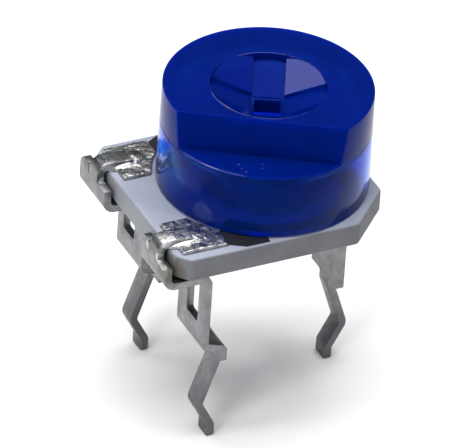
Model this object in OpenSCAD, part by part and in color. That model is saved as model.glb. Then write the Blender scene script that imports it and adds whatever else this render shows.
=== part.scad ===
// Single-turn ceramic trimmer potentiometer with kinked board leads.
// Origin: rotor axis, on the plane of the board that the terminals' lips stand on.

/* [Base plate] */
// Length of the ceramic plate along X
plate_len = 7.74; // [7.4:0.02:8]
// Width of the ceramic plate along Y
plate_wid = 6.82; // [6.7:0.02:7.2]
// Thickness of the ceramic plate
plate_t = 0.83; // [0.7:0.01:1]
// Distance from the rotor axis to the plate's wiper-side edge
plate_front = 3.29; // [3.2:0.01:3.6]
// Leg of the large corner cuts on the wiper side
front_chamfer = 1.5; // [1.2:0.05:1.6]
// Leg of the small corner cuts on the end-terminal side
back_chamfer = 0.42; // [0.2:0.02:0.6]
// Height of the plate's underside above the board
standoff = 3.5; // [3.2:0.05:4.5]

/* [Rotor cap] */
// Radius of the cap at its foot
cap_foot_r = 3.41; // [3.3:0.01:3.44]
// Radius of the cap at its top
cap_top_r = 3.36; // [3.2:0.01:3.4]
// Height of the cap's top above the plate
cap_h = 3.51; // [3.45:0.01:3.9]
// Height of the cut-back ledge above the plate
ledge_h = 2.26; // [2.2:0.01:2.3]
// Thickness of the cap's wall
cap_wall = 0.4; // [0.3:0.05:0.5]
// Distance from the axis to the flat, at the cap's top
flat_top = 2.01; // [1.95:0.01:2.2]
// Distance from the axis to the flat, at the ledge
flat_foot = 2.2; // [2.1:0.01:2.4]
// Direction that the flat faces, from +X
flat_angle = 239; // [180:1:300]
// Gap between the cap's rim and the plate
rim_gap = 0.05; // [0.04:0.01:0.08]

/* [Driver slot] */
// Radius of the recess's rim
dish_r = 1.86; // [1.8:0.02:1.9]
// Slope of the recess's four flat facets, in degrees
facet_slope = 31; // [26:1:32]
// Width of the cross-slot's arms
slot_w = 1.04; // [0.8:0.02:1.06]
// Depth of the cross-slot at the rim
slot_rim_depth = 0.26; // [0.2:0.02:0.34]
// Depth of the cross-slot at the middle
slot_depth = 0.85; // [0.8:0.01:0.95]
// Side of the square pocket in the middle
pocket_w = 0.84; // [0.6:0.02:0.9]
// Depth of the square pocket
pocket_depth = 1.4; // [1.2:0.05:1.4]
// Turn of the cross-slot from the flat's direction
slot_turn = 4; // [0:1:10]

/* [Terminals] */
// Thickness of the terminal sheet
sheet_t = 0.25; // [0.22:0.01:0.3]
// Width of each terminal's leg
leg_w = 1.86; // [1.7:0.02:2]
// Distance from the middle to each end terminal's clip
clip_y = 2.29; // [2.25:0.01:2.35]
// Width of the tongues that enter the board
tongue_w = 0.63; // [0.5:0.01:0.7]
// Pitch of the two end leads, across the part
lead_pitch_y = 5; // [4.9:0.01:5.1]
// Pitch of the end leads to the wiper lead, along the part
lead_pitch_x = 5.36; // [5.3:0.01:5.4]
// Length of the leads below the board's top
lead_len = 3.2; // [3:0.05:3.6]
// How far the leads' snap-in kink stands out
kink_out = 0.47; // [0.3:0.01:0.5]
// Gap between the plate's underside and the end terminals' arms
arm_gap = 0.07; // [0.05:0.01:0.1]

/* [Contacts] */
// Inner radius of the resistive track
track_in = 2.45; // [2.35:0.05:2.5]
// Outer radius of the resistive track
track_out = 2.98; // [2.9:0.02:3]
// Angle over which the track runs
track_sweep = 280; // [260:5:290]
// Thickness of the printed films
film_t = 0.02; // [0.01:0.005:0.03]
// Thickness of the wiper's spring sheet
spring_t = 0.12; // [0.08:0.01:0.15]
// Radius of the eyelet that the rotor turns on
eyelet_r = 0.55; // [0.5:0.01:0.6]
// Running clearance round the eyelet
run_gap = 0.05; // [0.03:0.01:0.08]

/* [Hidden] */
$fn = 72;
eps = 0.02;

ceramic = [0.86, 0.87, 0.9];
cermet = [0.2, 0.2, 0.22];
silver = [0.72, 0.72, 0.7];
tinned = [0.55, 0.56, 0.56];
solder = [0.8, 0.8, 0.8];
spring = [0.8, 0.76, 0.62];
blue = [0.02, 0.1, 0.55];

plate_top = standoff + plate_t;
plate_back = plate_len - plate_front;
film_top = plate_top + film_t;
cap_top = plate_top + cap_h;
ledge_z = plate_top + ledge_h;

// Rotor interior
roof_t = 0.45;
cavity_r = cap_foot_r - cap_wall;
cavity_top = ledge_z - roof_t;
disc_z = plate_top + 0.12;
disc_top = disc_z + spring_t;
disc_r = 1.9;
head_r = 0.85;
head_t = 0.12;
head_z = disc_top + 0.03;
hub_in = 0.98;
hub_out = 1.45;
peg_r = 0.14;
peg_at = 1.24;
contact_angle = flat_angle - 180;
contact_at = (track_in + track_out) / 2;
contact_r = 0.12;

// Terminals
half_t = sheet_t / 2;
clip_gap = 0.16;
clip_x = -plate_back - clip_gap - half_t;
arm_z = standoff - arm_gap - half_t;
leg_x = -3.28;
lip_x = -2.61;
foot_x = -lead_pitch_x / 2;
kink_z = -0.59 * lead_len;
knee_z = -0.86 * lead_len;
shelf_z = 0.66;
lip_z = 0.46;
shoulder_z = plate_top - 0.32;
ear_z = plate_top + 0.04;
finger_rest = plate_top + film_t + half_t;
ear_w = 0.6;
ear_r = 0.34;
finger_w = 0.6;
finger_y = -0.02;
window_w = 0.8;
window_shift = 0.1;
window_z = 1.43;
window_top = 2.9;
strip_x = -lip_x;

// Solder pads
pad_in_r = cap_foot_r + 0.11;
pad_y0 = 1.32;
pad_y1 = 3.1;
pad_x0 = -plate_back + 0.24;
pad_x1 = -2.62;
pad_cut = 0.2;
solder_t = 0.16;

function unit(v) = v / norm(v);
function left_of(v) = [-v[1], v[0]];

// Points of the arc that rounds corner b of the path a-b-c at radius r
function corner(a, b, c, r, steps = 5) =
    let (
        u = unit(a - b),
        w = unit(c - b),
        half = acos(u * w) / 2,
        centre = b + unit(u + w) * r / sin(half),
        from = b + u * r / tan(half) - centre,
        to = b + w * r / tan(half) - centre,
        side = from[0] * to[1] - from[1] * to[0] > 0 ? 1 : -1,
        turn = side * acos(unit(from) * unit(to)),
        start = atan2(from[1], from[0])
    )
    [for (i = [0:steps]) centre + r * [cos(start + turn * i / steps), sin(start + turn * i / steps)]];

// A path of [x, z, radius] entries with its corners rounded
function rounded_path(p) = [
    for (i = [0:len(p) - 1])
        let (here = [p[i][0], p[i][1]])
        if (i == 0 || i == len(p) - 1 || p[i][2] == 0)
            here
        else
            each corner([p[i - 1][0], p[i - 1][1]], here, [p[i + 1][0], p[i + 1][1]], p[i][2])
];

function heading(p, i) = unit(
    (i < len(p) - 1 ? unit(p[i + 1] - p[i]) : [0, 0]) + (i > 0 ? unit(p[i] - p[i - 1]) : [0, 0])
);

// Sheet metal bent along a path in the XZ plane, centred on Y = 0
module bent_sheet(path, width) {
    p = rounded_path(path);
    last = len(p) - 1;
    outline = concat(
        [for (i = [0:last]) p[i] + left_of(heading(p, i)) * half_t],
        [for (i = [last:-1:0]) p[i] - left_of(heading(p, i)) * half_t]
    );
    rotate([90, 0, 0])
        linear_extrude(width, center = true)
            polygon(outline);
}

// Snap-in lead, from the seat plane down, for the side whose lip is at lip_x
module tongue() {
    bent_sheet([
        [lip_x, 0.1, 0],
        [lip_x, -0.28, 0.3],
        [foot_x - kink_out, kink_z, 0.3],
        [foot_x, knee_z, 0.25],
        [foot_x, -lead_len, 0]
    ], tongue_w);
}

// Rounded upright ear at the +Y end of the clip
module ear() {
    y1 = leg_w / 2;
    y0 = y1 - ear_w;
    arc = [for (a = [0:15:90]) [y1 - ear_r + ear_r * cos(a), ear_z - ear_r + ear_r * sin(a)]];
    translate([clip_x - half_t, 0, 0])
        rotate([90, 0, 90])
            linear_extrude(sheet_t)
                polygon(concat([[y0, ear_z], [y0, shoulder_z - eps], [y1, shoulder_z - eps]], arc));
}

// Finger that hooks over the plate's edge
module finger() {
    translate([0, finger_y, 0])
        bent_sheet([
            [clip_x, shoulder_z - eps, 0],
            [clip_x, plate_top + 0.17, 0.26],
            [clip_x + 0.5, plate_top + 0.2, 0.2],
            [clip_x + 0.85, finger_rest, 0.2],
            [clip_x + 1.25, finger_rest, 0]
        ], finger_w);
}

module end_terminal(side) {
    color(tinned)
        union() {
            translate([0, side * clip_y, 0]) {
                difference() {
                    bent_sheet([
                        [clip_x, shoulder_z, 0],
                        [clip_x, arm_z, 0.28],
                        [leg_x, arm_z, 0.25],
                        [leg_x, shelf_z, 0.16],
                        [lip_x, lip_z, 0.16],
                        [lip_x, 0, 0]
                    ], leg_w);
                    translate([leg_x - sheet_t, side * window_shift - window_w / 2, window_z])
                        cube([2 * sheet_t, window_w, window_top - window_z]);
                }
                ear();
                finger();
            }
            translate([0, side * lead_pitch_y / 2, 0])
                tongue();
        }
}

module wiper_terminal() {
    arm_top = standoff;
    color(tinned)
        difference() {
            union() {
                bent_sheet([
                    [0, arm_top - half_t, 0],
                    [strip_x, arm_top - half_t, 0.25],
                    [strip_x, 0, 0]
                ], leg_w);
                mirror([1, 0, 0])
                    tongue();
                translate([0, 0, arm_top - sheet_t])
                    cylinder(r = leg_w / 2, h = sheet_t);
                translate([0, 0, arm_top - sheet_t])
                    cylinder(r = eyelet_r, h = head_z + head_t - arm_top + sheet_t);
                translate([0, 0, head_z])
                    cylinder(r = head_r, h = head_t);
            }
            translate([0, 0, arm_top - 2 * sheet_t])
                cylinder(r = eyelet_r - 0.2, h = cap_h);
        }
}

module base_plate() {
    half = plate_wid / 2;
    color(ceramic)
        translate([0, 0, standoff])
            linear_extrude(plate_t)
                difference() {
                    polygon([
                        [plate_front, -half + front_chamfer],
                        [plate_front, half - front_chamfer],
                        [plate_front - front_chamfer, half],
                        [-plate_back + back_chamfer, half],
                        [-plate_back, half - back_chamfer],
                        [-plate_back, -half + back_chamfer],
                        [-plate_back + back_chamfer, -half],
                        [plate_front - front_chamfer, -half]
                    ]);
                    circle(r = eyelet_r + run_gap);
                }
}

// Printed end of the track on the +Y side, where it widens to reach its electrode
module track_end() {
    polygon([[-1.3, 3.33], [-2.1, 3.33], [pad_x1, 3.03], [pad_x1, 2.3], [-1.9, 1.75], [-1.2, 2.35]]);
}

module resistive_track() {
    color(cermet)
        translate([0, 0, plate_top]) {
            rotate([0, 0, -track_sweep / 2])
                rotate_extrude(angle = track_sweep)
                    translate([track_in, 0])
                        square([track_out - track_in, film_t]);
            for (s = [0, 1])
                mirror([0, s, 0])
                    linear_extrude(film_t)
                        track_end();
        }
}

// Outline of a solder pad on the +Y side, drawn in by a margin
module pad(margin) {
    difference() {
        polygon([
            [pad_x0 + margin, pad_y0 + margin],
            [-3, pad_y0 + margin],
            [pad_x1 - margin, 2],
            [pad_x1 - margin, pad_y1 - margin],
            [pad_x0 + pad_cut + margin, pad_y1 - margin],
            [pad_x0 + margin, pad_y1 - pad_cut - margin]
        ]);
        circle(r = pad_in_r + margin);
    }
}

module electrode(side) {
    color(silver)
        mirror([0, side > 0 ? 0 : 1, 0])
            translate([0, 0, plate_top])
                linear_extrude(film_t)
                    pad(0);
}

module solder_joint(side) {
    color(solder)
        difference() {
            mirror([0, side > 0 ? 0 : 1, 0])
                translate([0, 0, film_top])
                    linear_extrude(solder_t)
                        pad(0.03);
            translate([0, side * clip_y, 0])
                finger();
        }
}

module wiper() {
    arm_in = 2.1;
    arm_out = 2.85;
    arm_half = 62;
    spoke_w = 0.6;
    color(spring)
        rotate([0, 0, contact_angle]) {
            difference() {
                union() {
                    translate([0, 0, disc_z])
                        cylinder(r = disc_r, h = spring_t);
                    rotate([0, 0, -arm_half])
                        rotate_extrude(angle = 2 * arm_half)
                            translate([arm_in, disc_z])
                                square([arm_out - arm_in, spring_t]);
                    for (s = [-1, 1])
                        rotate([0, 0, s * (arm_half - 8)])
                            translate([disc_r - 0.3, -spoke_w / 2, disc_z])
                                cube([arm_in - disc_r + 0.6, spoke_w, spring_t]);
                    translate([contact_at, 0, film_top + 0.02])
                        cylinder(r = contact_r, h = disc_z - film_top);
                }
                translate([0, 0, disc_z - 1])
                    cylinder(r = eyelet_r + run_gap, h = 2);
                for (s = [-1, 1])
                    translate([0, s * peg_at, disc_z - 1])
                        cylinder(r = peg_r, h = 2);
            }
        }
}

// Trough with a V section along one diagonal of the cross-slot
module trough(over) {
    apex = dish_r * tan(facet_slope);
    half = dish_r + over / tan(facet_slope);
    rotate([90, 0, 0])
        linear_extrude(4 * dish_r, center = true)
            polygon([[0, cap_top - apex], [half, cap_top + over], [-half, cap_top + over]]);
}

// Cross-slot for a screwdriver among four flat facets, to be taken out of the cap's top
module driver_slot() {
    over = 0.2;
    reach = dish_r + over;
    pocket_z = cap_top - pocket_depth;
    intersection() {
        union() {
            difference() {
                intersection() {
                    rotate([0, 0, 45])
                        trough(over);
                    rotate([0, 0, 135])
                        trough(over);
                }
                for (a = [0, 90])
                    rotate([0, 0, a])
                        translate([-reach, -slot_w / 2 + eps, pocket_z])
                            cube([2 * reach, slot_w - 2 * eps, pocket_depth + 2 * over]);
            }
            for (a = [0:90:270])
                rotate([90, 0, a])
                    linear_extrude(slot_w, center = true)
                        polygon([
                            [0, cap_top + over],
                            [reach, cap_top + over],
                            [reach, cap_top - slot_rim_depth],
                            [dish_r, cap_top - slot_rim_depth],
                            [pocket_w / 2, cap_top - slot_depth],
                            [0, cap_top - slot_depth]
                        ]);
        }
        translate([0, 0, pocket_z])
            cylinder(r = dish_r, h = pocket_depth + over);
    }
    translate([-pocket_w / 2, -pocket_w / 2, pocket_z])
        cube([pocket_w, pocket_w, pocket_depth + over]);
}

module rotor_cap() {
    foot = plate_top + rim_gap;
    beyond = 5;
    lean = atan((flat_foot - flat_top) / (cap_top - ledge_z));
    color(blue, 0.9)
        rotate([0, 0, flat_angle]) {
            difference() {
                translate([0, 0, foot])
                    cylinder(r1 = cap_foot_r, r2 = cap_top_r, h = cap_top - foot);
                translate([0, 0, foot - 1])
                    cylinder(r = cavity_r, h = cavity_top - foot + 1);
                translate([flat_foot, 0, ledge_z])
                    rotate([0, -lean, 0])
                        translate([0, -beyond, 0])
                            cube([beyond, 2 * beyond, beyond]);
                translate([flat_foot, -beyond, ledge_z])
                    cube([beyond, 2 * beyond, beyond]);
                rotate([0, 0, slot_turn])
                    driver_slot();
            }
            difference() {
                translate([0, 0, disc_top])
                    cylinder(r = hub_out, h = cavity_top - disc_top);
                translate([0, 0, disc_top - 1])
                    cylinder(r = hub_in, h = cavity_top - disc_top);
            }
            for (s = [-1, 1])
                translate([0, s * peg_at, disc_z])
                    cylinder(r = peg_r, h = spring_t);
        }
}

base_plate();
resistive_track();
electrode(-1);  // electrode_1
electrode(1);  // electrode_3
end_terminal(-1);  // end_terminal_1
end_terminal(1);  // end_terminal_3
solder_joint(-1);  // solder_joint_1
solder_joint(1);  // solder_joint_3
wiper_terminal();
wiper();
rotor_cap();
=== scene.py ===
import math

import bmesh
import bpy
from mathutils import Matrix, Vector


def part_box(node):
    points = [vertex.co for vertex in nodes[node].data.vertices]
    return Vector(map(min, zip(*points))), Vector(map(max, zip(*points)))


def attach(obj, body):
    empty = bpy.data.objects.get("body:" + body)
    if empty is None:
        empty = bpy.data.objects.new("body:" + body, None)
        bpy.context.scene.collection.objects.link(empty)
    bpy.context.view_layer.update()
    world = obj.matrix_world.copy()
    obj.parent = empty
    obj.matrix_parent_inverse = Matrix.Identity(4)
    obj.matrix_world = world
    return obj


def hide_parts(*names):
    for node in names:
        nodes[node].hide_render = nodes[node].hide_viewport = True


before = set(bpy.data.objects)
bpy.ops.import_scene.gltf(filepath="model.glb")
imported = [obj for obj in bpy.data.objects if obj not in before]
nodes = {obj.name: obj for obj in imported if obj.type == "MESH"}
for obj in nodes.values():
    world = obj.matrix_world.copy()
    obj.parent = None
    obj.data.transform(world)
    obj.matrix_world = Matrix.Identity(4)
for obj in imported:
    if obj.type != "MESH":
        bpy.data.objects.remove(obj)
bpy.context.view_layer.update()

# Pieces are modelled in millimetres and brought to metres when they are finished
mm = 0.001

# Corners closer than this are one corner, and a cut through them makes no new one
weld = 0.0005

# Length of a tool that cuts right through
through = 4


def boxOf(node):
    low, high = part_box(node)
    return low / mm, high / mm


plateLow, plateHigh = boxOf("base_plate")
capLow, capHigh = boxOf("rotor_cap")
endLow = boxOf("end_terminal_1")[0]
plateTop = plateHigh.z
ledgeHeight = plateTop + 2.26
floorHeight = endLow.z


def pickOnly(piece):
    if bpy.context.mode != "OBJECT":
        bpy.ops.object.mode_set(mode="OBJECT")
    bpy.ops.object.select_all(action="DESELECT")
    piece.select_set(True)
    bpy.context.view_layer.objects.active = piece


def named(name):
    # the primitive just added, with its place put into its mesh
    piece = bpy.context.object
    piece.name = name
    piece.data.name = name
    pickOnly(piece)
    bpy.ops.object.transform_apply(location=True, rotation=True, scale=True)
    return piece


def cylinder(name, radius, depth, height, sides=64):
    # upright on the axis, with its middle at that height
    bpy.ops.mesh.primitive_cylinder_add(vertices=sides, radius=radius, depth=depth, location=(0, 0, height))
    return named(name)


def block(name, centre, size):
    bpy.ops.mesh.primitive_cube_add(size=1, location=centre, scale=size)
    return named(name)


def toMetres(piece):
    piece.scale = (mm, mm, mm)
    bpy.ops.object.transform_apply(location=True, rotation=True, scale=True)


def startEdit(piece):
    pickOnly(piece)
    bpy.ops.object.mode_set(mode="EDIT")


def stopEdit():
    bpy.ops.object.mode_set(mode="OBJECT")


def selectAll():
    bpy.ops.mesh.select_all(action="SELECT")


def choose(piece, kind, test):
    # selects the corners, edges or faces that pass the test
    bpy.ops.mesh.select_mode(type=kind)
    bpy.ops.mesh.select_all(action="DESELECT")
    mesh = bmesh.from_edit_mesh(piece.data)
    for item in {"VERT": mesh.verts, "EDGE": mesh.edges, "FACE": mesh.faces}[kind]:
        if test(item):
            item.select_set(True)
    mesh.select_flush_mode()
    bmesh.update_edit_mesh(piece.data)


def middle(edge):
    return (edge.verts[0].co + edge.verts[1].co) / 2


def along(edge):
    return (edge.verts[1].co - edge.verts[0].co).normalized()


def slide(x=0, y=0, z=0):
    bpy.ops.transform.translate(value=(x, y, z))


def finishModifier(piece, kind, **settings):
    pickOnly(piece)
    modifier = piece.modifiers.new(kind.lower(), kind)
    for key, value in settings.items():
        setattr(modifier, key, value)
    bpy.ops.object.modifier_apply(modifier=modifier.name)


def cutWith(piece, tool, operation="DIFFERENCE"):
    finishModifier(piece, "BOOLEAN", object=tool, operation=operation, solver="EXACT")
    bpy.data.objects.remove(tool)


def roundEdges(piece, width, segments=2, angle=35, clamp=True):
    finishModifier(piece, "BEVEL", width=width, segments=segments, limit_method="ANGLE",
                   angle_limit=math.radians(angle), use_clamp_overlap=clamp)


def turnWhole(piece, degrees):
    # about the axis; the rotate tool's sign is the other way round without a window
    startEdit(piece)
    selectAll()
    bpy.ops.transform.rotate(value=-math.radians(degrees), orient_axis="Z", center_override=(0, 0, 0))
    stopEdit()


def split(place, normal):
    # new edges all round, where the mesh meets a plane
    selectAll()
    bpy.ops.mesh.bisect(plane_co=place, plane_no=normal, threshold=weld)


def complete(piece, body, material, stands=(), smoothAngle=35):
    # cleans the mesh, brings it to metres, gives it its finish and its body
    startEdit(piece)
    selectAll()
    bpy.ops.mesh.remove_doubles(threshold=weld)
    bpy.ops.mesh.normals_make_consistent(inside=False)
    stopEdit()
    toMetres(piece)
    bpy.ops.object.shade_smooth_by_angle(angle=math.radians(smoothAngle))
    finishModifier(piece, "WEIGHTED_NORMAL", keep_sharp=True)
    piece.data.materials.clear()
    piece.data.materials.append(material)
    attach(piece, body)
    if stands:
        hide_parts(*stands)
    print("made", piece.name, len(piece.data.polygons), "faces")


def roundedPath(path, steps=6):
    # points (x, z) of a bend line, with each corner (x, z, radius) turned into an arc
    points = []
    for index, (x, z, radius) in enumerate(path):
        if index in (0, len(path) - 1) or radius == 0:
            points.append(Vector((x, z)))
            continue
        corner = Vector((x, z))
        before = (Vector(path[index - 1][:2]) - corner).normalized()
        after = (Vector(path[index + 1][:2]) - corner).normalized()
        half = before.angle(after) / 2
        centre = corner + (before + after).normalized() * radius / math.sin(half)
        start = corner + before * radius / math.tan(half) - centre
        turn = start.angle_signed(corner + after * radius / math.tan(half) - centre)
        for step in range(steps + 1):
            angle = -turn * step / steps
            points.append(centre + Vector((start.x * math.cos(angle) - start.y * math.sin(angle),
                                           start.x * math.sin(angle) + start.y * math.cos(angle))))
    return points


def pullAlong(points):
    # extrudes the selected edges through the points of a bend line
    for here, there in zip(points, points[1:]):
        bpy.ops.mesh.extrude_region_move(
            TRANSFORM_OT_translate={"value": (there.x - here.x, 0, there.y - here.y)})


def startStrip(name, width, points):
    # a strip of sheet, centred on y = 0, that follows the bend line
    bpy.ops.mesh.primitive_plane_add(size=width, location=(points[0].x + width / 2, 0, points[0].y))
    strip = named(name)
    startEdit(strip)
    choose(strip, "VERT", lambda v: v.co.x > points[0].x + width / 2)
    bpy.ops.mesh.delete(type="VERT")
    choose(strip, "EDGE", lambda e: True)
    pullAlong(points)
    return strip


class Finish:
    # a material with its pattern coordinates in millimetres
    def __init__(self, name, **sockets):
        self.material = bpy.data.materials.new(name)
        self.material.use_nodes = True
        self.tree = self.material.node_tree
        self.shader = self.tree.nodes["Principled BSDF"]
        coordinates = self.tree.nodes.new("ShaderNodeTexCoord")
        mapping = self.tree.nodes.new("ShaderNodeMapping")
        mapping.inputs["Scale"].default_value = (1 / mm, 1 / mm, 1 / mm)
        self.tree.links.new(coordinates.outputs["Object"], mapping.inputs["Vector"])
        self.place = mapping.outputs["Vector"]
        for name, value in sockets.items():
            self.shader.inputs[name.replace("_", " ")].default_value = value

    def add(self, kind, inputs, **settings):
        node = self.tree.nodes.new(kind)
        for key, value in settings.items():
            setattr(node, key, value)
        for key, value in inputs.items():
            if isinstance(value, bpy.types.NodeSocket):
                self.tree.links.new(value, node.inputs[key])
            else:
                node.inputs[key].default_value = value
        return node

    def noise(self, scale, detail=3, roughness=0.5, distortion=0):
        inputs = {"Vector": self.place, "Scale": scale, "Detail": detail, "Roughness": roughness,
                  "Distortion": distortion}
        return self.add("ShaderNodeTexNoise", inputs).outputs["Fac"]

    def cells(self, scale):
        return self.add("ShaderNodeTexVoronoi", {"Vector": self.place, "Scale": scale}).outputs["Distance"]

    def between(self, value, low, high, start=0, end=1):
        return self.add("ShaderNodeMapRange", {"Value": value, "From Min": low, "From Max": high,
                                               "To Min": start, "To Max": end}).outputs["Result"]

    def blend(self, amount, first, second):
        node = self.add("ShaderNodeMix", {"Factor": amount}, data_type="RGBA")
        for socket, value in ((node.inputs[6], first), (node.inputs[7], second)):
            if isinstance(value, bpy.types.NodeSocket):
                self.tree.links.new(value, socket)
            else:
                socket.default_value = (*value, 1)
        return node.outputs[2]

    def maths(self, operation, first, second):
        return self.add("ShaderNodeMath", {0: first, 1: second}, operation=operation).outputs[0]

    def coordinate(self, axis):
        return self.add("ShaderNodeSeparateXYZ", {"Vector": self.place}).outputs[axis]

    def stained(self, colour, stains):
        # rough-edged patches of other tones over a colour
        for centre, radius, tone, amount in stains:
            measure = self.add("ShaderNodeVectorMath", {0: self.place, 1: centre}, operation="DISTANCE")
            wobble = self.between(self.noise(4), 0, 1, -radius * 0.6, radius * 0.6)
            distance = self.maths("ADD", measure.outputs["Value"], wobble)
            patch = self.between(distance, radius * 1.4, radius)
            colour = self.blend(self.maths("MULTIPLY", patch, amount), colour, tone)
        return colour

    def relief(self, height, strength, distance, below=None):
        inputs = {"Height": height, "Strength": strength, "Distance": distance * mm}
        if below:
            inputs["Normal"] = below
        return self.add("ShaderNodeBump", inputs).outputs["Normal"]

    def connect(self, **sockets):
        for name, value in sockets.items():
            self.tree.links.new(value, self.shader.inputs[name.replace("_", " ")])
        return self.material


# Stains, painted highlights and painted reflections: centre, radius, tone, amount
fluxBrown = (0.16, 0.06, 0.025)
highlightTin = (0.75, 0.75, 0.74)
# pale tone of small scuffs and of the painted edge highlights
paleMarkAndHighlight = (0.36, 0.30, 0.50)
residue = (
    ((-2.97, -1.80, plateTop + 0.02), 0.09, fluxBrown, 0.9),
    ((-4.45, -2.90, plateTop - 0.6), 0.4, (0.10, 0.085, 0.06), 0.7),
)
# painted highlights: bright tin spots on the clips where glints of light fall
paintedHighlights = (
    ((-4.86, -1.88, 4.14), 0.12, highlightTin, 0.45),
    ((-4.86, -2.70, 4.14), 0.16, highlightTin, 0.6),
    ((-4.86, -2.98, 4.06), 0.13, highlightTin, 0.5),
    ((-4.61, 2.00, 3.98), 0.16, (0.85, 0.85, 0.84), 0.9),
)
burns = (
    ((-3.36, 2.44, plateTop + 0.15), 0.17, (0.03, 0.022, 0.02), 0.85),
    ((-3.56, 2.40, plateTop + 0.15), 0.07, fluxBrown, 0.8),
    ((-2.97, -1.84, plateTop + 0.1), 0.09, fluxBrown, 0.9),
)
specks = (
    ((-1.93, -2.05, ledgeHeight), 0.035, paleMarkAndHighlight, 0.2),
    ((-1.95, -2.30, ledgeHeight), 0.02, paleMarkAndHighlight, 0.2),
    ((-1.90, -2.51, ledgeHeight), 0.03, paleMarkAndHighlight, 0.2),
    ((-1.23, -2.31, ledgeHeight), 0.02, paleMarkAndHighlight, 0.2),
    ((-1.33, -2.51, ledgeHeight), 0.02, paleMarkAndHighlight, 0.2),
)
# painted reflections: two lighter patches on the skirt where light is reflected
paintedSkirtReflections = (
    ((-2.93, -1.73, plateTop + 0.47), 0.3, (0.32, 0.46, 0.98), 0.7),
    ((-3.39, -0.15, plateTop + 1.3), 0.6, (0.01, 0.34, 0.98), 0.8),
)

# Painted highlights along edges: centre, radius, height it starts from, amount
ledgeHighlightCentre = Vector((-2.8, -1.85, ledgeHeight))
paintedEdgeHighlights = (
    (ledgeHighlightCentre, 0.9, ledgeHeight - 0.022, 0.12),
    ((-1.30, -1.35, capHigh.z), 1.2, capHigh.z - 0.04, 0.5),
)


def ceramicFinish():
    # smooth blue-white top; broken sides darker as painted shade, the -X side lighter as painted light
    finish = Finish("ceramicFinish", Roughness=0.6, Specular_IOR_Level=0.3)
    cloud = finish.between(finish.noise(0.9, 4), 0.35, 0.65)
    grain = finish.noise(14, 4, 0.6)
    # painted shade: the sides darker than the top
    side = finish.blend(cloud, (0.118, 0.121, 0.134), (0.146, 0.149, 0.163))
    # painted light: the -X side lighter than the other sides
    paintedLitSide = finish.between(finish.coordinate("X"), plateLow.x + 0.03, plateLow.x + 0.005)
    side = finish.blend(paintedLitSide, side, (0.23, 0.24, 0.26))
    top = finish.blend(cloud, (0.29, 0.315, 0.395), (0.335, 0.355, 0.43))
    upper = finish.between(finish.coordinate("Z"), plateTop - 0.07, plateTop - 0.005)
    colour = finish.blend(upper, side, top)
    colour = finish.blend(finish.between(grain, 0.5, 0.8, 0, 0.25), colour, (0.24, 0.25, 0.29))
    colour = finish.stained(colour, residue)
    relief = finish.relief(grain, 0.25, 0.02)
    return finish.connect(Base_Color=colour, Normal=relief)


def tinnedFinish():
    finish = Finish("tinnedFinish", Metallic=1.0)
    cloud = finish.between(finish.noise(1.6, 4, 0.6), 0.3, 0.7)
    colour = finish.blend(cloud, (0.14, 0.145, 0.15), (0.28, 0.285, 0.29))
    # painted shade: the leads darker towards the bottom
    paintedShadeBelow = finish.between(finish.coordinate("Z"), 0.5, -2.0, 0, 0.75)
    colour = finish.blend(paintedShadeBelow, colour, (0.10, 0.105, 0.11))
    # dark residue stains and the painted highlights over the tin
    colour = finish.stained(colour, residue[1:] + paintedHighlights)
    roughness = finish.between(finish.noise(5, 4), 0.3, 0.7, 0.32, 0.5)
    lumps = finish.between(finish.cells(2.2), 0.0, 0.5)
    relief = finish.relief(finish.noise(9, 5, 0.6), 0.4, 0.02)
    relief = finish.relief(lumps, 0.25, 0.03, relief)
    return finish.connect(Base_Color=colour, Roughness=roughness, Normal=relief)


def solderFinish():
    finish = Finish("solderFinish", Metallic=1.0)
    cloud = finish.between(finish.noise(3, 4), 0.35, 0.65)
    colour = finish.blend(cloud, (0.40, 0.40, 0.40), (0.62, 0.62, 0.61))
    colour = finish.stained(colour, burns)
    roughness = finish.between(finish.noise(6, 3), 0.3, 0.7, 0.2, 0.38)
    relief = finish.relief(finish.noise(9, 5, 0.65, 0.8), 0.7, 0.025)
    return finish.connect(Base_Color=colour, Roughness=roughness, Normal=relief)


def capFinish(name, clearness, gloss, tint, first, second, paintedReflections=(), edgeHighlights=(), **more):
    # one blue plastic: dense in the solid block, clearer in the thin skirt, polished in the recess; painted
    # highlights along edges and painted reflections on the skirt
    finish = Finish(name, Transmission_Weight=clearness, Specular_Tint=(*tint, 1), **more)
    cloud = finish.between(finish.noise(0.8, 3), 0.3, 0.7)
    colour = finish.blend(cloud, first, second)
    scuff = finish.between(finish.noise(26, 4, 0.7), 0.62, 0.72, 0, 0.05)
    colour = finish.blend(scuff, colour, (0.20, 0.24, 0.55))
    # pale marks, and the painted reflections on the skirt
    colour = finish.stained(colour, specks + paintedReflections)
    # painted highlights along the ledge's edge and the recess's rim
    for centre, radius, low, amount in edgeHighlights:
        onEdge = finish.between(finish.coordinate("Z"), low, low + 0.01, 0, amount)
        colour = finish.stained(colour, [(centre, radius, paleMarkAndHighlight, onEdge)])
    roughness = finish.between(finish.noise(3, 4), 0.3, 0.7, gloss, gloss + 0.07)
    relief = finish.relief(finish.noise(2.2, 3), 0.06, 0.02)
    return finish.connect(Base_Color=colour, Roughness=roughness, Normal=relief)


def cermetFinish():
    finish = Finish("cermetFinish", Roughness=0.5, Specular_IOR_Level=0.35)
    grain = finish.noise(18, 4, 0.7)
    colour = finish.blend(finish.between(grain, 0.3, 0.7), (0.007, 0.007, 0.009), (0.016, 0.016, 0.02))
    return finish.connect(Base_Color=colour, Normal=finish.relief(grain, 0.3, 0.01))


def silverFilmFinish():
    finish = Finish("silverFilmFinish", Metallic=1.0, Roughness=0.45)
    grain = finish.noise(16, 4, 0.6)
    colour = finish.blend(finish.between(grain, 0.3, 0.7), (0.26, 0.26, 0.26), (0.42, 0.42, 0.41))
    return finish.connect(Base_Color=colour, Normal=finish.relief(grain, 0.3, 0.01))


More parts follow.
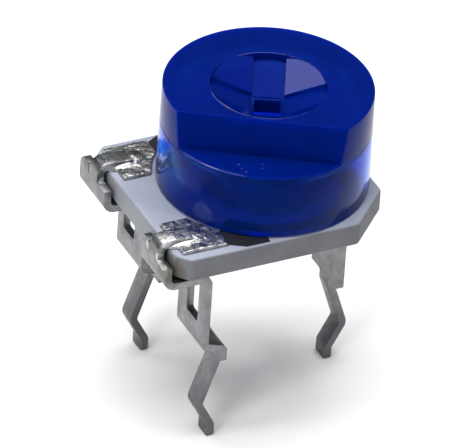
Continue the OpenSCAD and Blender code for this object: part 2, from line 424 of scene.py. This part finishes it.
def springFinish():
    finish = Finish("springFinish", Metallic=1.0, Roughness=0.3)
    cloud = finish.noise(4, 3)
    colour = finish.blend(finish.between(cloud, 0.3, 0.7), (0.55, 0.46, 0.28), (0.66, 0.57, 0.36))
    return finish.connect(Base_Color=colour, Normal=finish.relief(cloud, 0.2, 0.01))


def floorFinish():
    finish = Finish("floorFinish", Roughness=0.9, Specular_IOR_Level=0.1)
    cloud = finish.noise(0.02, 2)
    return finish.connect(Base_Color=finish.blend(cloud, (0.90, 0.90, 0.91), (0.93, 0.93, 0.93)))


ceramic = ceramicFinish()
tinned = tinnedFinish()
solder = solderFinish()
deepTint = (0.0, 0.05, 0.6)
blockBlue = capFinish("capBlock", 0.15, 0.12, deepTint, (0.0, 0.008, 0.145), (0.0, 0.010, 0.165), IOR=1.25,
                      Subsurface_Weight=0.6, Subsurface_Radius=(0.2, 0.4, 1.0), Subsurface_Scale=0.0015)
skirtBlue = capFinish("capSkirt", 0.93, 0.08, deepTint, (0.01, 0.09, 0.66), (0.01, 0.14, 0.80),
                      paintedReflections=paintedSkirtReflections, IOR=1.22)
# the polished plastic carries the painted edge highlights
facetBlue = capFinish("capPolished", 0.1, 0.05, (1, 1, 1), (0.0, 0.008, 0.16), (0.0, 0.010, 0.18),
                      edgeHighlights=paintedEdgeHighlights, IOR=1.4)
print("materials ready")


# Degrees and millimetres
view = {
    "azimuth": -27.528,
    "elevation": 34.510,
    "roll": 4.056,
    "distance": 265.873,
    "right": -0.861,
    "up": -1.481,
    "lens": 642.76,
    "sensor": 36,
    "nearest": 10,
}
azimuth = math.radians(view["azimuth"])
elevation = math.radians(view["elevation"])
roll = math.radians(view["roll"])
towards = Vector((math.sin(azimuth) * math.cos(elevation), -math.cos(azimuth) * math.cos(elevation),
                  math.sin(elevation)))
levelRight = Vector((math.cos(azimuth), math.sin(azimuth), 0))
levelAway = Vector((-math.sin(azimuth), math.cos(azimuth), 0))
levelUp = towards.cross(levelRight)
viewRight = levelRight * math.cos(roll) + levelUp * math.sin(roll)
viewUp = levelUp * math.cos(roll) - levelRight * math.sin(roll)


floorWidth = 900


def makeCamera():
    target = Vector((0, 0, plateTop))
    place = target + towards * view["distance"] + viewRight * view["right"] + viewUp * view["up"]
    bpy.ops.object.camera_add(location=place * mm)
    camera = bpy.context.object
    camera.name = "camera"
    camera.data.lens = view["lens"]
    camera.data.sensor_width = view["sensor"]
    camera.data.clip_start = view["nearest"] * mm
    turned = camera.matrix_world.copy()
    for column, axis in enumerate((viewRight, viewUp, towards)):
        for row in range(3):
            turned[row][column] = axis[row]
    camera.matrix_world = turned
    bpy.context.scene.camera = camera


def makeFloor():
    bpy.ops.mesh.primitive_plane_add(size=floorWidth, location=(0, 0, floorHeight))
    floor = named("floor")
    toMetres(floor)
    floor.data.materials.append(floorFinish())


def softbox(name, direction, distance, size, radiance):
    # a square light that faces the object, at a distance in millimetres
    bpy.ops.object.light_add(type="AREA", location=direction * distance * mm)
    light = bpy.context.object
    light.name = name
    light.data.shape = "SQUARE"
    light.data.size = size * mm
    light.data.energy = radiance * math.pi * (size * mm) ** 2
    light.rotation_euler = direction.to_track_quat("Z", "Y").to_euler()


# Direction (right, away, up), distance, width, radiance
studio = {
    "overhead": ((0, 0, 1), 300, 300, 4.7),
    "recess": ((-0.57, 0.245, 0.785), 220, 60, 2.6),
    "ledgeLine": ((-0.64, -0.28, 0.71), 260, 60, 9.0),
    "front": ((-0.45, -0.75, 0.48), 260, 90, 10.0),
}


def makeLights():
    for name, (direction, distance, size, radiance) in studio.items():
        right, away, up = direction
        facing = (levelRight * right + levelAway * away + Vector((0, 0, up))).normalized()
        softbox(name + "Light", facing, distance, size, radiance)
    world = bpy.data.worlds.new("studioAir")
    world.use_nodes = True
    world.node_tree.nodes["Background"].inputs["Color"].default_value = (0.9, 0.95, 1.0, 1)
    world.node_tree.nodes["Background"].inputs["Strength"].default_value = 0.12
    bpy.context.scene.world = world
    bpy.context.scene.view_settings.view_transform = "Standard"


makeCamera()
makeFloor()
makeLights()
print("camera, floor and lights ready")


plate = {
    "frontCut": 1.5,
    "backCut": 0.42,
    "edge": 0.1,
    "bore": 0.6,
}


def makePlate():
    piece = block("ceramicPlate", (plateLow + plateHigh) / 2, plateHigh - plateLow)
    startEdit(piece)
    for side, cut in ((plateHigh.x, plate["frontCut"]), (plateLow.x, plate["backCut"])):
        choose(piece, "EDGE", lambda e: abs(along(e).z) > 0.9 and abs(middle(e).x - side) < 0.01)
        bpy.ops.mesh.bevel(offset=cut, segments=1, affect="EDGES")
    stopEdit()
    cutWith(piece, cylinder("drill", plate["bore"], through, plateTop))
    roundEdges(piece, plate["edge"], 4)
    complete(piece, "base", ceramic, ["base_plate"])


makePlate()


cap = {
    "topRadius": 3.36,
    "sides": 120,
    "start": -1.05,
    "flatAtTop": 2.01,
    "flatAtLedge": 2.2,
    "flatTurn": 239,
    "slotTurn": 243,
    "cavityRadius": 3.01,
    "roof": 0.45,
    "dishRadius": 1.86,
    "rimSides": 96,
    "dishDeep": 1.125,
    "facetSlope": 0.605,
    "armWidth": 1.04,
    "armDeep": 0.85,
    "armRim": 0.26,
    "pocket": 0.84,
    "pocketDeep": 1.4,
    "hubOut": 1.45,
    "hubIn": 0.98,
    "hubBury": 0.1,
    "edge": 0.04,
    "rim": 0.04,
    "groove": 0.03,
    "highlightReach": 1.2,
}


def makeCap():
    # the tools reach over the plastic by this much
    over = 0.3
    height = capHigh.z - capLow.z
    top = capHigh.z
    footRadius = (capHigh.y - capLow.y) / 2
    piece = cylinder("trimmerCap", footRadius, height, (capLow.z + top) / 2, cap["sides"])
    turnWhole(piece, cap["start"])
    startEdit(piece)
    choose(piece, "VERT", lambda v: v.co.z > top - 0.01)
    shrink = cap["topRadius"] / footRadius
    bpy.ops.transform.resize(value=(shrink, shrink, 1), center_override=(0, 0, top))
    stopEdit()

    # hollow underside, with the hub that the wiper is pressed on
    cavityTop = ledgeHeight - cap["roof"]
    cutWith(piece, cylinder("hollow", cap["cavityRadius"], cavityTop, cavityTop / 2, cap["sides"]))
    hubLow = boxOf("wiper")[1].z
    hubTop = cavityTop + cap["hubBury"]
    hub = cylinder("hub", cap["hubOut"], hubTop - hubLow, (hubTop + hubLow) / 2)
    cutWith(hub, cylinder("hubBore", cap["hubIn"], cavityTop * 2, 0))
    cutWith(piece, hub, "UNION")

    # flat on the side, down to the ledge
    tool = 5
    flat = block("flatTool", (cap["flatAtLedge"] + tool / 2, 0, ledgeHeight + tool / 2),
                 (tool, 2 * tool, tool))
    startEdit(flat)
    reach = (cap["flatAtLedge"] - cap["flatAtTop"]) / (top - ledgeHeight) * tool
    choose(flat, "VERT", lambda v: v.co.x < cap["flatAtLedge"] + 0.01 and v.co.z > ledgeHeight + 1)
    slide(x=-reach)
    stopEdit()
    turnWhole(flat, cap["flatTurn"])
    cutWith(piece, flat)
    roundEdges(piece, cap["edge"], 3, 25, clamp=False)

    # driver recess: four flat facets inside a round rim
    tall = cap["dishDeep"] + over
    bpy.ops.mesh.primitive_cone_add(vertices=4, radius1=0, radius2=tall / cap["facetSlope"] * math.sqrt(2),
                                    depth=tall, location=(0, 0, top - cap["dishDeep"] + tall / 2))
    dish = named("dishTool")
    turnWhole(dish, cap["slotTurn"])
    cutWith(dish, cylinder("rimTool", cap["dishRadius"], 2 * tall, top, cap["rimSides"]), "INTERSECT")
    for turn in (0, 90):
        bar = block("barTool", (0, 0, top), (2 * through, cap["armWidth"] - 0.01, 2 * through))
        turnWhole(bar, cap["slotTurn"] + turn)
        cutWith(dish, bar)
    cutWith(piece, dish)

    # cross-slot with sloping floors, and the square pocket in its middle
    cross = block("crossTool", (0, 0, top), (cap["pocket"], cap["pocket"], 2 * cap["pocketDeep"]))
    half = cap["pocket"] / 2
    steep = (cap["armDeep"] - cap["armRim"]) / (cap["dishRadius"] - half)
    for turn, deep in ((0, cap["armDeep"]), (90, cap["armDeep"] - 0.01)):
        bar = block("barTool", (0, 0, top), (2 * (cap["dishRadius"] + over), cap["armWidth"], 2 * deep))
        startEdit(bar)
        for x in (-half, half):
            split((x, 0, 0), (1, 0, 0))
        choose(bar, "VERT", lambda v: abs(v.co.x) > 1 and v.co.z < top)
        slide(z=steep * (cap["dishRadius"] + over - half))
        stopEdit()
        turnWhole(bar, turn)
        cutWith(cross, bar, "UNION")
    turnWhole(cross, cap["slotTurn"])
    cutWith(cross, cylinder("armEnd", cap["dishRadius"], through, top, cap["rimSides"]), "INTERSECT")
    cutWith(piece, cross)

    # rounded rim of the recess, which carries a painted highlight
    startEdit(piece)
    choose(piece, "EDGE", lambda e: min(v.co.z for v in e.verts) > top - 0.001
           and abs(middle(e).xy.length - cap["dishRadius"]) < 0.01)
    bpy.ops.mesh.bevel(offset=cap["rim"], segments=2, affect="EDGES")

    # fine groove round the wall at the ledge
    grooveTop = ledgeHeight - cap["edge"] - 0.01
    grooveLow = grooveTop - cap["groove"]
    for height in (grooveTop, grooveLow):
        split((0, 0, height), (0, 0, 1))
    inGroove = (grooveTop + grooveLow) / 2
    choose(piece, "FACE", lambda f: abs(f.calc_center_median().z - inGroove) < 0.002
           and f.calc_center_median().xy.length > 3)
    bpy.ops.mesh.inset(thickness=0.004, depth=-cap["groove"] / 2)
    stopEdit()
    complete(piece, "rotor", blockBlue, ["rotor_cap"], 25)

    # thin skirt and polished facets
    piece.data.materials.append(skirtBlue)
    piece.data.materials.append(facetBlue)
    startEdit(piece)
    tilt = math.cos(math.atan(cap["facetSlope"]))

    def isSkirt(face):
        return face.calc_center_median().z / mm < grooveLow + 0.01

    def isPolished(face):
        # the four facets, the recess's rim and the ledge's outer edge
        spot = face.calc_center_median() / mm
        reach = spot.xy.length
        facet = abs(face.normal.z - tilt) < 0.02 and reach < cap["dishRadius"] and spot.z > ledgeHeight
        rim = abs(reach - cap["dishRadius"]) < cap["rim"] and spot.z > top - cap["rim"]
        # the ledge's outer edge is polished only near its painted highlight
        edge = abs(spot.z - ledgeHeight) < cap["edge"] and (spot - ledgeHighlightCentre).length < cap["highlightReach"]
        return facet or (rim or edge) and 0.1 < face.normal.z < 0.99

    for slot, test in ((1, isSkirt), (2, isPolished)):
        choose(piece, "FACE", test)
        piece.active_material_index = slot
        bpy.ops.object.material_slot_assign()
    stopEdit()


makeCap()


lead = {
    "sheet": 0.25,
    "width": 1.86,
    "tongue": 0.63,
    "flare": 0.1,
    "lip": 2.61,
    "foot": 2.68,
    "kinkOut": 0.47,
    "kinkHeight": -1.888,
    "kneeHeight": -2.752,
    "straight": 0.28,
    "bend": 0.3,
    "kneeBend": 0.25,
    "tipRound": 0.09,
    "edge": 0.028,
}
tongueHalf = lead["tongue"] / 2 + lead["flare"]

# The finger's bend line is out from the ear, up from the plate's top, bend radius
clip = {
    "y": 2.29,
    "tongueY": 2.5,
    "arm": 3.305,
    "leg": 3.28,
    "shelf": 0.66,
    "lipHeight": 0.46,
    "shoulder": 4.01,
    "earTop": 4.37,
    "earWide": 0.6,
    "earRound": 0.34,
    "fingerWide": 0.6,
    "fingerY": -0.02,
    "finger": ((0, 0.17, 0.26), (0.5, 0.2, 0.2), (0.85, 0.145, 0.2), (1.1, 0.145, 0)),
    "windowWide": 0.8,
    "windowShift": 0.1,
    "windowLow": 1.43,
    "windowHigh": 2.9,
    "windowRound": 0.1,
    "outerBend": 0.28,
    "armBend": 0.25,
    "shelfBend": 0.16,
}


def onRow(edge, x, z, low, high):
    # an edge that runs along y at that place of the bend line
    spot = middle(edge)
    near = abs(spot.x - x) < 0.01 and abs(spot.z - z) < 0.01
    return near and abs(along(edge).y) > 0.9 and low < spot.y < high


def pullTongue(piece, side, centre):
    # narrows the lip into the snap-in lead and pulls it down to the foot
    lip = side * lead["lip"]
    half = lead["tongue"] / 2
    flare = lead["flare"]
    wide = tongueHalf
    choose(piece, "EDGE", lambda e: onRow(e, lip, 0, centre - tongueHalf, centre + tongueHalf))
    steps = 4
    for step in range(1, steps + 1):
        before = math.pi / 2 * (step - 1) / steps
        angle = math.pi / 2 * step / steps
        target = half + flare * (1 - math.sin(angle))
        depth = flare * (math.cos(before) - math.cos(angle))
        bpy.ops.mesh.extrude_region_move(TRANSFORM_OT_translate={"value": (0, 0, -depth)})
        bpy.ops.transform.resize(value=(1, target / wide, 1), center_override=(lip, centre, 0))
        wide = target
    pullAlong(roundedPath([
        (lip, -flare, 0),
        (lip, -lead["straight"], lead["bend"]),
        (side * (lead["foot"] + lead["kinkOut"]), lead["kinkHeight"], lead["bend"]),
        (side * lead["foot"], lead["kneeHeight"], lead["kneeBend"]),
        (side * lead["foot"], floorHeight, 0),
    ]))
    choose(piece, "VERT", lambda v: v.co.z < floorHeight + 0.001 and abs(abs(v.co.y - centre) - half) < 0.001)
    bpy.ops.mesh.bevel(offset=lead["tipRound"], segments=3, affect="VERTICES")


def thicken(strip):
    stopEdit()
    finishModifier(strip, "SOLIDIFY", thickness=lead["sheet"], offset=0, use_even_offset=True)


def endTerminal(name, node, side):
    outer = endLow.x + lead["sheet"] / 2
    half = lead["width"] / 2
    tongueAt = side * (clip["tongueY"] - clip["y"])
    strip = startStrip(name, lead["width"], roundedPath([
        (outer, clip["shoulder"], 0),
        (outer, clip["arm"], clip["outerBend"]),
        (-clip["leg"], clip["arm"], clip["armBend"]),
        (-clip["leg"], clip["shelf"], clip["shelfBend"]),
        (-lead["lip"], clip["lipHeight"], clip["shelfBend"]),
        (-lead["lip"], 0, 0),
    ]))
    fingerLow = clip["fingerY"] - clip["fingerWide"] / 2
    fingerHigh = clip["fingerY"] + clip["fingerWide"] / 2
    earLow = half - clip["earWide"]
    for y in (fingerLow, fingerHigh, earLow, tongueAt - tongueHalf, tongueAt + tongueHalf):
        split((0, y, 0), (0, 1, 0))
    pullTongue(strip, -1, tongueAt)

    # upright ear with one round corner
    choose(strip, "EDGE", lambda e: onRow(e, outer, clip["shoulder"], earLow, half))
    bpy.ops.mesh.extrude_region_move(
        TRANSFORM_OT_translate={"value": (0, 0, clip["earTop"] - clip["shoulder"])})
    choose(strip, "VERT", lambda v: v.co.z > clip["earTop"] - 0.001 and v.co.y > half - 0.001)
    bpy.ops.mesh.bevel(offset=clip["earRound"], segments=6, affect="VERTICES")

    # finger hooked over the plate's edge
    choose(strip, "EDGE", lambda e: onRow(e, outer, clip["shoulder"], fingerLow, fingerHigh))
    hook = [(outer + out, plateTop + up, bend) for out, up, bend in clip["finger"]]
    pullAlong(roundedPath([(outer, clip["shoulder"], 0), *hook]))
    selectAll()
    bpy.ops.mesh.normals_make_consistent(inside=False)
    thicken(strip)

    # window punched through the leg
    windowMiddle = (clip["windowLow"] + clip["windowHigh"]) / 2
    punch = block("punch", (-clip["leg"], side * clip["windowShift"], windowMiddle),
                  (1, clip["windowWide"], clip["windowHigh"] - clip["windowLow"]))
    startEdit(punch)
    choose(punch, "EDGE", lambda e: abs(along(e).x) > 0.9)
    bpy.ops.mesh.bevel(offset=clip["windowRound"], segments=4, affect="EDGES")
    stopEdit()
    cutWith(strip, punch)
    roundEdges(strip, lead["edge"], 2, 40)
    startEdit(strip)
    selectAll()
    slide(y=side * clip["y"])
    stopEdit()
    complete(strip, "base", tinned, [node])

    # solder has wetted the finger
    strip.data.materials.append(solder)
    startEdit(strip)
    choose(strip, "FACE", lambda f: f.calc_center_median().z / mm > plateTop + 0.02
           and f.calc_center_median().x / mm > outer + 0.08)
    strip.active_material_index = 1
    bpy.ops.object.material_slot_assign()
    stopEdit()


endTerminal("nearEndTerminal", "end_terminal_1", -1)
endTerminal("farEndTerminal", "end_terminal_3", 1)


eyelet = {
    "pad": 0.93,
    "radius": 0.55,
    "bore": 0.35,
    "headRadius": 0.85,
    "headLow": plateTop + 0.27,
    "headHigh": plateTop + 0.39,
    "lap": 0.02,
}


def wiperTerminal():
    armTop = plateLow.z
    half = lead["sheet"] / 2
    strip = startStrip("wiperTerminal", lead["width"], roundedPath([
        (0, armTop - half, 0),
        (lead["lip"], armTop - half, clip["armBend"]),
        (lead["lip"], 0, 0),
    ]))
    for y in (-tongueHalf, tongueHalf):
        split((0, y, 0), (0, 1, 0))
    pullTongue(strip, 1, 0)
    thicken(strip)

    # eyelet drawn up from the arm, with its head turned over
    rings = (
        (eyelet["pad"], armTop - lead["sheet"], armTop),
        (eyelet["radius"], armTop - half, eyelet["headHigh"] - eyelet["lap"]),
        (eyelet["headRadius"], eyelet["headLow"], eyelet["headHigh"]),
    )
    for radius, low, high in rings:
        cutWith(strip, cylinder("ring", radius, high - low, (low + high) / 2), "UNION")
    cutWith(strip, cylinder("eyeletBore", eyelet["bore"], through, armTop, 48))
    roundEdges(strip, lead["edge"], 2, 40)
    complete(strip, "base", tinned, ["wiper_terminal"])


wiperTerminal()


# Each crinkle is its size and its strength
joint = {
    "thick": 0.12,
    "edge": 0.05,
    "capClear": 3.53,
    "bead": (0.85, 0.48, 0.24),
    "beadX": -3.80,
    "voxel": 0.022,
    "crinkles": ((0.45, 0.05), (0.2, 0.03), (0.1, 0.01)),
    "smoothing": 10,
}


def solderPad(name, node, side):
    # a slab on the pad, run up over the end of the finger, melted together and crinkled
    low, high = boxOf(node)
    slab = block(name, ((low.x + high.x) / 2, (low.y + high.y) / 2, plateTop + joint["thick"] / 2),
                 (high.x - low.x, high.y - low.y, joint["thick"]))
    cutWith(slab, cylinder("capClear", joint["capClear"], through, plateTop, 96))
    roundEdges(slab, joint["edge"], 3, 30)
    fingerY = side * clip["y"] + clip["fingerY"]
    beadLow = plateTop + 0.01
    bpy.ops.mesh.primitive_uv_sphere_add(segments=32, ring_count=16, radius=1,
                                         location=(joint["beadX"], fingerY, beadLow), scale=joint["bead"])
    bead = named("bead")
    startEdit(bead)
    selectAll()
    bpy.ops.mesh.bisect(plane_co=(0, 0, beadLow), plane_no=(0, 0, 1), clear_inner=True, use_fill=True)
    stopEdit()
    cutWith(slab, bead, "UNION")
    finishModifier(slab, "REMESH", mode="VOXEL", voxel_size=joint["voxel"])
    finishModifier(slab, "SMOOTH", factor=0.5, iterations=joint["smoothing"])
    for size, strength in joint["crinkles"]:
        texture = bpy.data.textures.new(name + "Crinkle", "CLOUDS")
        texture.noise_scale = size
        texture.noise_depth = 3
        finishModifier(slab, "DISPLACE", texture=texture, strength=strength, mid_level=0.5,
                       direction="NORMAL", texture_coords="LOCAL")
    complete(slab, "base", solder, [node], 60)


solderPad("nearSolder", "solder_joint_1", -1)
solderPad("farSolder", "solder_joint_3", 1)


def refinish(node, material):
    nodes[node].data.materials.clear()
    nodes[node].data.materials.append(material)


refinish("resistive_track", cermetFinish())
silverFilm = silverFilmFinish()
for electrode in ("electrode_1", "electrode_3"):
    refinish(electrode, silverFilm)
refinish("wiper", springFinish())
print("films and wiper finished")
